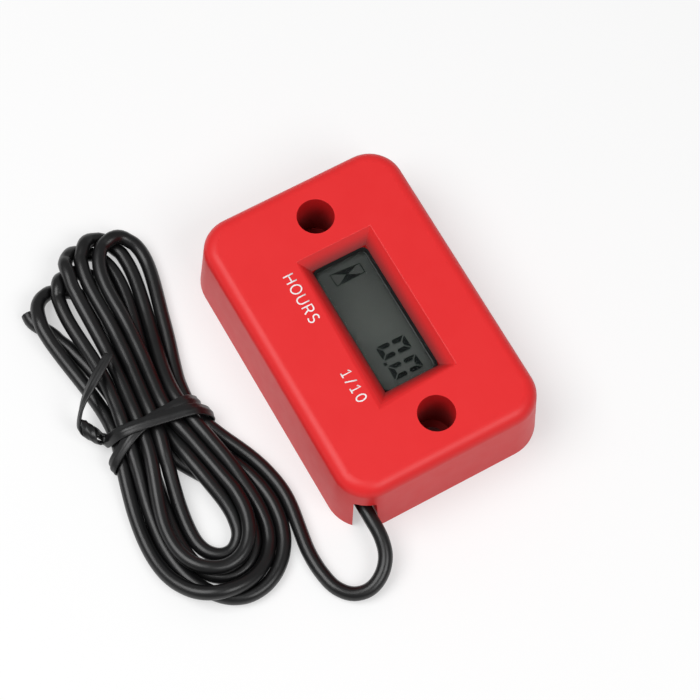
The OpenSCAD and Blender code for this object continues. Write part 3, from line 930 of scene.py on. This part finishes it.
    def _part(self, line: np.ndarray, weight: np.ndarray, near: tuple[np.ndarray, np.ndarray]) -> None:
        """Pushes strands apart where they overlap.

        Args:
            line: The points, which are moved.
            weight: How free each point is.
            near: The pairs of points that lie close together.
        """
        i, j = near
        v = line[i] - line[j]
        length = np.linalg.norm(v, axis=1)[:, None] + TINY
        push = v / length * np.clip(self.diameter - length, 0, None) * self.part_rate
        hit = (length[:, 0] < self.diameter).astype(float)
        move, count = np.zeros_like(line), np.zeros(len(line))
        for ends, sign in ((i, 1), (j, -1)):
            np.add.at(move, ends, sign * push)
            np.add.at(count, ends, hit)
        line += move / np.sqrt(np.maximum(count, 1))[:, None] * weight

    @staticmethod
    def _keep_length(line: np.ndarray, weight: np.ndarray, step: float) -> None:
        """Pulls each short span of the lead back to its own length.

        Args:
            line: The points, which are moved.
            weight: How free each point is.
            step: The length of a span.
        """
        for first in (0, 1):
            count = len(line[first + 1 :: 2])
            v = line[first + 1 :: 2] - line[first:-1:2][:count]
            length = np.linalg.norm(v, axis=1)[:, None] + TINY
            pull = v * (1 - step / length) / 2
            line[first:-1:2][:count] += pull * weight[first:-1:2][:count]
            line[first + 1 :: 2] -= pull * weight[first + 1 :: 2]

    def lay(self) -> np.ndarray:
        """Winds the lead and lets it settle.

        Returns:
            Its centreline, evenly spaced.
        """
        laid = [*self.route, *self.entry, *(p for turn in self.turns for p in turn), *self.tail]
        start = smooth_run(np.array(laid, float), self.spacing)
        self.line = smooth_run(self.settle(start), self.fine_spacing)
        return self.line

    def build(self) -> Object:
        """Sweeps the jacket along the settled line.

        Returns:
            The lead, as a curve.
        """
        data = tube("pickup_lead", self.diameter / 2 * MM, self.rounding)
        spline = data.splines.new("POLY")
        spline.points.add(len(self.line) - 1)
        spline.points.foreach_set("co", np.column_stack([self.line * MM, np.ones(len(self.line))]).ravel())
        spline.use_smooth = True
        return linked("pickup_lead", data)

    def dress(self, lead: Object, on_it: Sequence[Object]) -> None:
        """Args:
            lead: The lead.
            on_it: Not used.
        """
        lead.data.materials.append(LEAD_JACKET.material())
        seat(lead, "lead_jacket", "lead_tube", "lead_hank")


@dataclass
class Housing:
    """The moulded shell, with its sharp edges broken as a mould leaves them."""

    face_edge: float = 0.28
    soft_edge: float = 1.0
    soft_steps: int = 6
    soft_x: float = 15.15
    soft_y: float = -6.15
    window_y: float = 1.35
    window_z: float = 12.4
    lip_edge: float = 0.12
    rim_edge: float = 0.2
    sharp: float = 26.0
    flat: float = 0.4
    hole_x: float = 21.25
    hole_y: float = 1.25
    well_r: float = 3.5

    def _soft(self, edge: BMEdge) -> bool:
        """Tells the window's two worn edges, along +X and -Y, from the crisp ones."""
        middle = (edge.verts[0].co + edge.verts[1].co) / 2 / MM
        return abs(middle.x - self.soft_x) < NEAR or abs(middle.y - self.soft_y) < NEAR

    @staticmethod
    def _round(bm: BMesh, edges: list[BMEdge], width: float, segments: int = 3) -> None:
        """Rounds edges.

        Args:
            bm: The shell.
            edges: The edges.
            width: Width of the rounding.
            segments: Faces across it.
        """
        bmesh.ops.bevel(
            bm,
            geom=edges,
            offset=width * MM,
            offset_type="OFFSET",
            segments=segments,
            profile=0.5,
            affect="EDGES",
            material=-1,
            clamp_overlap=True,
        )

    def build(self) -> Object:
        """Makes the shell from a merged copy of its solid.

        Returns:
            The shell.
        """
        bm = merged_copy("housing")
        bmesh.ops.dissolve_limit(
            bm,
            angle_limit=math.radians(self.flat),
            verts=bm.verts,
            edges=bm.edges,
            use_dissolve_boundaries=False,
        )
        low, high = mm_box("housing")
        lens_top = mm_box("window_lens")[1].z
        lip = next(h for h in sorted({round(v.co.z / MM, 2) for v in bm.verts}) if h > lens_top)
        worn = [e for e in sharp_edges(bm, high.z, self.sharp) if self._soft(e)]
        self._round(bm, worn, self.soft_edge, self.soft_steps)
        for height, width in ((high.z, self.face_edge), (lip, self.lip_edge), (low.z, self.rim_edge)):
            self._round(bm, sharp_edges(bm, height, self.sharp), width)
        for face in bm.faces:
            face.smooth = True
            face.material_index = self._zone(face.calc_center_median() / MM, high.z)
        for edge in bm.edges:
            edge.smooth = not edge.is_manifold or edge.calc_face_angle() < math.radians(self.sharp)
        # The wells' and the window bevels' finishes carry painted shade
        zones = (RED_MOULDING, SHADED_RED_WELL, SHADED_RED_WINDOW)
        return finished("housing_shell", bm, *(zone.material() for zone in zones))

    def _zone(self, place: Vector, top: float) -> int:
        """Tells which finish a place of the shell has.

        Args:
            place: The place.
            top: Height of the face.

        Returns:
            1 inside a screw well, 2 on the window's bevels, both of which have painted shade, else 0.
        """
        if place.z > top - self.face_edge:
            return 0
        holes = (Vector((side * self.hole_x, self.hole_y)) for side in (-1, 1))
        if any((place.xy - hole).length < self.well_r for hole in holes):
            return 1
        half_w = self.window_y - self.soft_y
        in_window = abs(place.x) < self.soft_x and abs(place.y - self.window_y) < half_w
        return 2 if in_window and place.z > self.window_z else 0

    def dress(self, shell: Object) -> None:
        """Evens the shading and seats the shell.

        Args:
            shell: The shell.
        """
        even = shell.modifiers.new("even_normals", "WEIGHTED_NORMAL")
        even.keep_sharp = True
        seat(shell, "housing_plastic", "housing")


def arc(centre: Flat, radius: Flat, start: float, end: float, steps: int = 10) -> list[Flat]:
    """Draws part of an ellipse.

    Args:
        centre: Its middle.
        radius: Its two radii.
        start: First angle, in degrees.
        end: Last angle, in degrees.
        steps: Number of spans.

    Returns:
        The points.
    """
    angles = (math.radians(start + (end - start) * k / steps) for k in range(steps + 1))
    return [(centre[0] + radius[0] * math.cos(a), centre[1] + radius[1] * math.sin(a)) for a in angles]


@dataclass
class FacePrint:
    """White lettering, printed on the face below the window in even round-ended strokes."""

    words: tuple[tuple[str, str, float, float, float], ...] = (
        ("print_hours", "HOURS", -13.65, -3.55, 2.25),
        ("print_tenths", "1/10", 6.85, 13.3, 2.1),
    )
    base: float = -9.72
    stroke: float = 0.28
    ink: float = 0.02
    gap: float = 0.4
    rounding: int = 2
    closed: float = 1e-6
    weld: float = 1e-5

    @staticmethod
    def strokes(letter: str) -> tuple[float, list[list[Flat]]]:
        """Draws one letter in a box of height 1.

        Args:
            letter: The letter.

        Returns:
            Its width, and the lines of its strokes.
        """
        if letter == "H":
            return 0.74, [[(0, 0), (0, 1)], [(0.74, 0), (0.74, 1)], [(0, 0.52), (0.74, 0.52)]]
        if letter == "O":
            return 0.86, [arc((0.43, 0.5), (0.43, 0.5), 0, 360, 28)]
        if letter == "U":
            return 0.72, [[(0, 1), *arc((0.36, 0.36), (0.36, 0.36), 180, 360, 12), (0.72, 1)]]
        if letter == "R":
            bowl = [(0, 0), (0, 1), *arc((0.36, 0.74), (0.26, 0.26), 90, -90, 8), (0, 0.48)]
            return 0.64, [bowl, [(0.36, 0.48), (0.64, 0)]]
        if letter == "S":
            upper = arc((0.3, 0.75), (0.27, 0.25), 40, 270, 12)
            lower = arc((0.3, 0.25), (0.3, 0.25), 90, -140, 12)
            return 0.6, [upper + lower[1:]]
        if letter == "1":
            return 0.5, [[(0.02, 0.76), (0.27, 1), (0.27, 0)], [(0.02, 0), (0.5, 0)]]
        if letter == "/":
            return 0.3, [[(0, -0.1), (0.3, 1.04)]]
        return 0.56, [arc((0.28, 0.5), (0.28, 0.5), 0, 360, 24)]

    def word(self, name: str, letters: str, x0: float, x1: float, height: float) -> Object:
        """Prints one word.

        Args:
            name: Name of the piece.
            letters: What it says.
            x0: Where it starts.
            x1: Where it ends.
            height: Height of its letters.

        Returns:
            The word as a thin mesh on the face.
        """
        drawn = [self.strokes(letter) for letter in letters]
        total = sum(width for width, _ in drawn) + self.gap * (len(letters) - 1)
        wide = (x1 - x0 - self.stroke) / total
        high = height - self.stroke
        data = tube(name, self.stroke / 2, self.rounding)
        start = 0.0
        for width, lines in drawn:
            for line in lines:
                spline = data.splines.new("POLY")
                spline.use_cyclic_u = math.dist(line[0], line[-1]) < self.closed
                points = line[:-1] if spline.use_cyclic_u else line
                spline.points.add(len(points) - 1)
                for point, (x, y) in zip(spline.points, points):
                    point.co = ((start + x) * wide, y * high, 0, 1)
            start += width + self.gap
        source = linked(name + "_strokes", data)
        bpy.context.view_layer.update()
        mesh = bpy.data.meshes.new_from_object(source.evaluated_get(bpy.context.evaluated_depsgraph_get()))
        bm = bmesh.new()
        bm.from_mesh(mesh)
        bpy.data.objects.remove(source)
        bpy.data.curves.remove(data)
        bpy.data.meshes.remove(mesh)
        face = mm_box("housing")[1].z
        bmesh.ops.remove_doubles(bm, verts=bm.verts, dist=self.weld)
        bmesh.ops.scale(bm, verts=bm.verts, vec=Vector((1, 1, 2 * self.ink / self.stroke)) * MM)
        place = Vector((x0 + self.stroke / 2, self.base + self.stroke / 2, face)) * MM
        bmesh.ops.translate(bm, verts=bm.verts, vec=place)
        return finished(name, bm, PRINT_INK.material())

    def build(self) -> None:
        """Prints all the words."""
        for name, letters, x0, x1, height in self.words:
            seat(self.word(name, letters, x0, x1, height), "housing_plastic")


@dataclass
class Lens:
    """The clear lens, with the edge of its plug broken, and a painted highlight in light grey where that
    edge faces +Y.
    """

    edge: float = 0.2
    # Least Y of a face's normal that gets the painted highlight
    painted_highlight_y: float = 0.3
    sharp: float = 40.0

    def build(self) -> Object:
        """Makes the lens from a merged copy of its solid.

        Returns:
            The lens.
        """
        bm = merged_copy("window_lens")
        made = bmesh.ops.bevel(
            bm,
            geom=sharp_edges(bm, mm_box("window_lens")[1].z, self.sharp),
            offset=self.edge * MM,
            offset_type="OFFSET",
            segments=2,
            profile=0.5,
            affect="EDGES",
            material=1,
        )
        bm.normal_update()
        for face in bm.faces:
            face.smooth = face in made["faces"]
            # The broken edge's faces that face +Y get the painted highlight
            face.material_index = int(face.smooth and face.normal.y > self.painted_highlight_y)
        plate = finished("lens_plate", bm, CLEAR_LENS.material(), LENS_EDGE_HIGHLIGHT.material())
        return seat(plate, "clear_lens", "window_lens")


@dataclass
class LensSealAndShade:
    """The black bead that lines the window's lip and fills the gap beside the lens's plug: a real seal, and
    also painted shade that darkens the shadowed lip and gap.
    """

    opening: Flat = (26.1, 10.8)
    corner: float = 1.2
    corner_steps: int = 6
    middle_y: float = 1.35
    profile: tuple[Flat, ...] = (
        (0.02, 11.5), (0.02, 12.6), (0.06, 12.6), (0.1, 12.2), (0.16, 11.8), (0.27, 11.6), (0.27, 11.5)
    )

    def ring(self, inset: float, height: float) -> list[Vector]:
        """Draws one round-cornered ring.

        Args:
            inset: Its distance from the opening.
            height: Its height.

        Returns:
            Its points.
        """
        half = Vector(self.opening) / 2 - Vector((inset, inset))
        r = self.corner - inset
        corners = ((1, 1, 0), (-1, 1, 90), (-1, -1, 180), (1, -1, 270))
        outline = [
            point
            for sx, sy, turn in corners
            for point in arc(
                (sx * (half.x - r), sy * (half.y - r)), (r, r), turn, turn + 90, self.corner_steps
            )
        ]
        return [Vector((x, y + self.middle_y, height)) * MM for x, y in outline]

    def build(self) -> Object:
        """Joins the rings of the bead's section.

        Returns:
            The bead.
        """
        bm = bmesh.new()
        rings = [[bm.verts.new(p) for p in self.ring(inset, height)] for inset, height in self.profile]
        for here, ahead in zip(rings, rings[1:] + rings[:1]):
            for k in range(len(here)):
                bm.faces.new((here[k - 1], here[k], ahead[k], ahead[k - 1])).smooth = True
        bmesh.ops.recalc_face_normals(bm, faces=bm.faces)
        return seat(finished("lens_seal_and_shade", bm, LENS_SEAL_AND_SHADE.material()), "black_plastic")


Quad = tuple[Flat, Flat, Flat, Flat]


@dataclass
class Display:
    """The display's dark segments, and a darker sheet of painted shadow under each, offset where its shadow
    on the reflector behind it falls.
    """

    digits: tuple[Quad, ...] = (
        ((4.23, -1.13), (4.41, 4.65), (7.51, 4.77), (7.33, -1.1)),
        ((8.33, -1.07), (8.53, 4.61), (11.57, 4.83), (11.51, -1.13)),
    )
    icon: Quad = ((-11.63, -1.33), (-11.15, 4.64), (-9.11, 4.66), (-9.02, -1.22))
    dot: Flat = (7.88, -1.0)
    dot_size: float = 0.62
    stroke: float = 1.12
    gap: float = 0.23
    slit: float = 0.01
    line: float = 0.2
    ink: float = 0.015
    lift: float = 0.012
    shoulder: float = 0.35
    tip: float = 0.1
    # Height and sideways shift of the painted shadow sheet
    shade_lift: float = 0.001
    shade_shift: Flat = (0.22, -0.16)

    @staticmethod
    def on_quad(quad: Quad, u: float, v: float) -> Flat:
        """Finds a place on a slanted box.

        Args:
            quad: Its corners: lower left, upper left, upper right, lower right.
            u: Share of the way to the right.
            v: Share of the way up.

        Returns:
            The place.
        """
        low_left, up_left, up_right, low_right = (Vector(c) for c in quad)
        low, high = low_left.lerp(low_right, u), up_left.lerp(up_right, u)
        return tuple(low.lerp(high, v))

    def zero(self, quad: Quad) -> list[list[Flat]]:
        """Draws the six outer segments of a digit.

        Args:
            quad: The digit's box.

        Returns:
            One outline for each segment.
        """
        s = self.stroke / (Vector(quad[3]) - Vector(quad[0])).length
        t = self.stroke / (Vector(quad[1]) - Vector(quad[0])).length
        end = [(0, 1), (1, 1), (1 - s, 1 - t), (s, 1 - t)]
        shoulder, tip = 0.5 + self.shoulder * t, 0.5 + self.tip * t
        side = [(0, 1), (s, 1 - t), (s, shoulder), (s / 2, tip), (0, shoulder)]
        upper = [end, side, [(1 - u, v) for u, v in side]]
        outlines = upper + [[(u, 1 - v) for u, v in outline] for outline in upper]
        return [[self.on_quad(quad, u, v) for u, v in outline] for outline in outlines]

    def hourglass(self) -> list[list[Flat]]:
        """Draws the running sign: a thin box with two dark wedges that meet in its middle.

        Returns:
            One outline for each part.
        """
        s = self.line / (Vector(self.icon[3]) - Vector(self.icon[0])).length
        t = self.line / (Vector(self.icon[1]) - Vector(self.icon[0])).length
        parts = [
            [(0, 0), (s, t), (s, 1 - t), (0, 1)],
            [(1, 0), (1 - s, t), (1 - s, 1 - t), (1, 1)],
            [(0, 0), (1, 0), (1 - s, t), (s, t)],
            [(0, 1), (1, 1), (1 - s, 1 - t), (s, 1 - t)],
            [(s, 0.12), (0.55, 0.5), (0.45, 0.55), (s, 0.88)],
            [(1 - s, 0.12), (0.45, 0.45), (0.55, 0.52), (1 - s, 0.88)],
        ]
        return [[self.on_quad(self.icon, u, v) for u, v in outline] for outline in parts]

    def sheet(self, name: str, height: float, shift: Flat, finish: Finish) -> Object:
        """Lays all the outlines as one thin layer.

        Args:
            name: Name of the piece.
            height: Height of the layer's underside above the field.
            shift: How far the layer is moved sideways.
            finish: Its finish.

        Returns:
            The layer.
        """
        bm = bmesh.new()
        h = self.dot_size / 2
        dot = [(self.dot[0] + a * h, self.dot[1] + b * h) for a, b in ((-1, -1), (-1, 1), (1, 1), (1, -1))]
        base = mm_box("front_polariser")[1].z + height
        blocks = [outline for quad in self.digits for outline in self.zero(quad)]
        for outline in [*blocks, dot, *self.hourglass()]:
            corners = [bm.verts.new(Vector((x + shift[0], y + shift[1], base)) * MM) for x, y in outline]
            face = bm.faces.new(corners)
            face.normal_update()
            room = self.gap if outline in blocks else self.slit
            rim = bmesh.ops.inset_individual(
                bm, faces=[face], thickness=room / 2 * MM, use_even_offset=True
            )
            bmesh.ops.delete(bm, geom=rim["faces"], context="FACES")
        bmesh.ops.recalc_face_normals(bm, faces=bm.faces)
        for face in bm.faces:
            if face.normal.z < 0:
                face.normal_flip()
        grown = bmesh.ops.extrude_face_region(bm, geom=bm.faces[:])
        raised = [v for v in grown["geom"] if isinstance(v, BMVert)]
        bmesh.ops.translate(bm, verts=raised, vec=(0, 0, self.ink * MM))
        bmesh.ops.recalc_face_normals(bm, faces=bm.faces)
        return finished(name, bm, finish.material())

    def build(self) -> None:
        """Lays the segments over their painted shadows."""
        # The painted shadow sheet, shifted and a little lower than the segments
        shades = self.sheet("segment_shades", self.shade_lift, self.shade_shift, SEGMENT_SHADE)
        seat(shades, "display_film")
        seat(self.sheet("display_segments", self.lift + self.ink, (0, 0), SEGMENT_INK), "display_film")


@dataclass
class TwistTie:
    """A flat coated wire tie: two wraps round the hank, a twisted knot and a loose tail."""

    lead: WoundLead
    width: float = 2.25
    core: float = 0.8
    web: float = 0.4
    edge: float = 0.12
    ridge_foot: float = 1.5
    ridge_flank: Flat = (0.75, 0.82)
    rest: float = 0.04
    margin: float = 0.3
    knot_from: Point = (-6.6, -50.0, 3.4)
    knot_to: Point = (-9.8, -51.6, 3.9)
    knot_r: float = 0.95
    knot_turns: float = 0.5
    knot_phase: float = 0.4
    knot_steps: int = 9
    wrap_steps: int = 241
    wrap_rounds: int = 5
    wrap_spacing: float = 1.6
    spacing: float = 0.45
    smoothing: int = 8
    loose_end: tuple[tuple[Point, Point], ...] = (
        ((-11.2, -51.2, 4.9), (-0.55, -0.8, 0.2)),
        ((-12.8, -49.6, 6.2), (-0.3, -0.9, 0.35)),
        ((-15, -46.4, 7.3), (0.1, -0.82, 0.55)),
        ((-18.1, -41.7, 7.7), (0.1, -0.82, 0.55)),
    )
    stations: tuple[Flat, ...] = (
        (0, -5.6), (0.25, -3.5), (0.5, -1.4), (0.75, -1), (1, -0.7), (1.1, -2.2), (1.2, -4), (1.35, -4.6),
        (1.5, -4.4), (1.75, -5.2), (2, -6.2),
    )
    crossing: tuple[Flat, ...] = (
        (0, 0), (0.08, 0.2), (0.16, 0.72), (0.28, 0.66), (0.42, 0.4), (0.5, 0.1), (2, 0),
    )

    def skin(self, x: float, angle: float, out: float) -> list[float]:
        """Finds where the tie lies on the strands.

        Args:
            x: Place along the hank.
            angle: Direction round the hank, from +Y over the top.
            out: Extra distance from the strands.

        Returns:
            The place and the outward direction, six numbers.
        """
        strands = self.lead.line[np.abs(self.lead.line[:, 0] - x) < self.width / 2 + self.margin]
        way = np.array([math.cos(angle), math.sin(angle)])
        far = strands[(strands[:, 1:] @ way).argmax(), 1:]
        place = far + way * (self.lead.diameter / 2 + self.core / 2 + self.rest + out)
        return [x, *place, 0.0, *way]

    def wraps(self) -> np.ndarray:
        """Lays the two wraps, with the first over the second where they cross.

        Returns:
            Places and outward directions along the tie.
        """
        turn = np.linspace(0.0, 2.0, self.wrap_steps)
        halves = np.linspace(0.0, 2.0, 5)
        share = turn.copy()
        for _ in range(self.wrap_rounds):
            along = np.interp(share, *zip(*self.stations))
            out = np.interp(share, *zip(*self.crossing))
            laid = np.array([self.skin(x, math.pi * (1 - 2 * t), o) for x, t, o in zip(along, turn, out)])
            run = run_along(laid)
            share = np.interp(run, np.interp(halves, turn, run), halves)
        return even_run(laid, self.wrap_spacing)

    def twist(self, phase: float) -> np.ndarray:
        """Winds one end of the tie round the knot's axis.

        Args:
            phase: Where it starts round the axis, in radians.

        Returns:
            Places and outward directions, from the hank outwards.
        """
        start, end = Vector(self.knot_from), Vector(self.knot_to)
        axis = (end - start).normalized()
        side = axis.orthogonal().normalized()
        rows = []
        for share in np.linspace(0.0, 1.0, self.knot_steps):
            angle = phase + share * self.knot_turns * math.tau
            way = Matrix.Rotation(angle, 3, axis) @ side
            rows.append([*(start.lerp(end, share) + way * self.knot_r), *way])
        return np.array(rows)

    def frames(self) -> list[Matrix]:
        """Chains the whole tie, end to end, into section frames.

        Returns:
            A place for each section, with its width along X and its outside along Y.
        """
        tail = np.array([[*place, *outside] for place, outside in self.loose_end])
        first, last = (self.twist(self.knot_phase + turn) for turn in (0, math.pi))
        line = smooth_run(np.vstack([first[::-1], self.wraps(), last, tail]), self.spacing)
        for _ in range(self.smoothing):
            line[1:-1] = (line[:-2] + 2 * line[1:-1] + line[2:]) / 4
        heading = np.gradient(line[:, :3], axis=0)
        made = []
        for row, ahead in zip(line, heading):
            forward = Vector(ahead).normalized()
            outside = Vector(row[3:])
            outside = (outside - forward * outside.dot(forward)).normalized()
            across = outside.cross(forward)
            place = Matrix((across, outside, forward)).transposed().to_4x4()
            place.translation = Vector(row[:3])
            made.append(place)
        return made

    def section(self) -> list[Vector]:
        """Draws the tie's section: a flat web with the wire's ridge in its middle.

        Returns:
            Its corners, in order.
        """
        half, ridge, web = self.width / 2, self.core / 2, self.web / 2
        flank = (ridge * self.ridge_flank[0], ridge * self.ridge_flank[1])
        foot = (ridge * self.ridge_foot, web)
        upper = [(half, web / 2), (half - self.edge, web), foot, flank, (0, ridge)]
        upper += [(-b, n) for b, n in reversed(upper[:-1])]
        return [Vector((b, n, 0)) for b, n in upper] + [Vector((-b, -n, 0)) for b, n in upper]

    def build(self) -> Object:
        """Sweeps the section along the tie.

        Returns:
            The tie.
        """
        bm = bmesh.new()
        frames = self.frames()
        ring = [bm.verts.new(frames[0] @ corner) for corner in self.section()]
        first = bm.faces.new(ring)
        edges = list(first.edges)
        for here, ahead in zip(frames, frames[1:]):
            grown = bmesh.ops.extrude_edge_only(bm, edges=edges)["geom"]
            verts = [g for g in grown if isinstance(g, BMVert)]
            edges = [g for g in grown if isinstance(g, BMEdge)]
            bmesh.ops.transform(bm, matrix=ahead @ here.inverted(), verts=verts)
        bmesh.ops.contextual_create(bm, geom=edges)
        bmesh.ops.recalc_face_normals(bm, faces=bm.faces)
        bmesh.ops.scale(bm, verts=bm.verts, vec=(MM, MM, MM))
        for face in bm.faces:
            face.smooth = len(face.verts) == 4
        return finished("hank_tie", bm, TIE_COAT.material())


INNER_FINISHES: dict[str, Finish] = {
    "front_polariser": DISPLAY_FIELD,
    "potting_resin": POTTING,
    "lead_root": LEAD_JACKET,
    "front_glass": ClearFinish(
        "display_glass", (0.9, 0.94, 0.93), (0.88, 0.93, 0.92), roughness=0.03, ior=1.52,
    ),
    "rear_glass": ClearFinish(
        "backing_glass", (0.88, 0.93, 0.92), (0.86, 0.92, 0.9), roughness=0.03, ior=1.52,
    ),
    "reflector_film": Finish(
        "reflector", (0.6, 0.62, 0.6), (0.54, 0.56, 0.54), roughness=0.35, metallic=0.7,
    ),
    "display_holder": Finish(
        "black_moulding", (0.012, 0.012, 0.013), (0.018, 0.018, 0.019), roughness=0.55,
    ),
    "upper_contact_strip": Finish(
        "contact_rubber", (0.62, 0.4, 0.4), (0.05, 0.04, 0.04), drift_scale=4000, relief=Relief.DRAWN,
    ),
    "circuit_board": Finish(
        "board_laminate", (0.01, 0.09, 0.03), (0.014, 0.12, 0.045), roughness=0.35,
        relief=Relief.DRAWN, coat=0.4,
    ),
    "controller_cap": Finish("chip_resin", (0.009, 0.009, 0.01), (0.014, 0.014, 0.015), relief=Relief.PEEL),
    "crystal_can": Finish(
        "can_metal", (0.62, 0.62, 0.64), (0.55, 0.55, 0.57), roughness=0.3,
        relief=Relief.DRAWN, metallic=1.0,
    ),
    "chip_capacitors": Finish("capacitor_ceramic", (0.38, 0.24, 0.11), (0.44, 0.3, 0.15), roughness=0.6),
    "chip_resistors": Finish("resistor_ceramic", (0.016, 0.016, 0.018), (0.03, 0.03, 0.03), roughness=0.6),
    "coin_cell": Finish(
        "cell_steel", (0.6, 0.6, 0.6), (0.52, 0.52, 0.53), roughness=0.28,
        relief=Relief.DRAWN, metallic=1.0,
    ),
    "negative_tab": Finish(
        "tab_nickel", (0.64, 0.6, 0.52), (0.56, 0.53, 0.46), roughness=0.32,
        relief=Relief.DRAWN, metallic=1.0,
    ),
    "solder_joints": Finish("solder", (0.56, 0.57, 0.58), (0.46, 0.47, 0.48), roughness=0.25, metallic=1.0),
    "lead_core": Finish("copper", (0.72, 0.34, 0.16), (0.6, 0.27, 0.12), roughness=0.35, metallic=1.0),
}
INNER_FINISHES["lower_contact_strip"] = INNER_FINISHES["upper_contact_strip"]
INNER_FINISHES["positive_tab"] = INNER_FINISHES["negative_tab"]


def dress_nodes() -> None:
    """Gives every CAD node that stays its finish."""
    for name, finish in INNER_FINISHES.items():
        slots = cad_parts[name].data.materials
        slots.clear()
        slots.append(finish.material())
        LOG.info("%s: %s", name, finish.name)


def main() -> None:
    """Builds and dresses the meter, piece by piece."""
    logging.basicConfig(level=logging.INFO, format="%(name)s: %(message)s")
    Studio().build()
    lead = WoundLead()
    lead.lay()
    tie = seat(TwistTie(lead).build(), "tie_plastic", "twist_tie")
    lead.dress(lead.build(), [tie])
    housing = Housing()
    housing.dress(housing.build())
    FacePrint().build()
    Display().build()
    Lens().build()
    LensSealAndShade().build()
    dress_nodes()


if __name__ == "__main__":
    main()
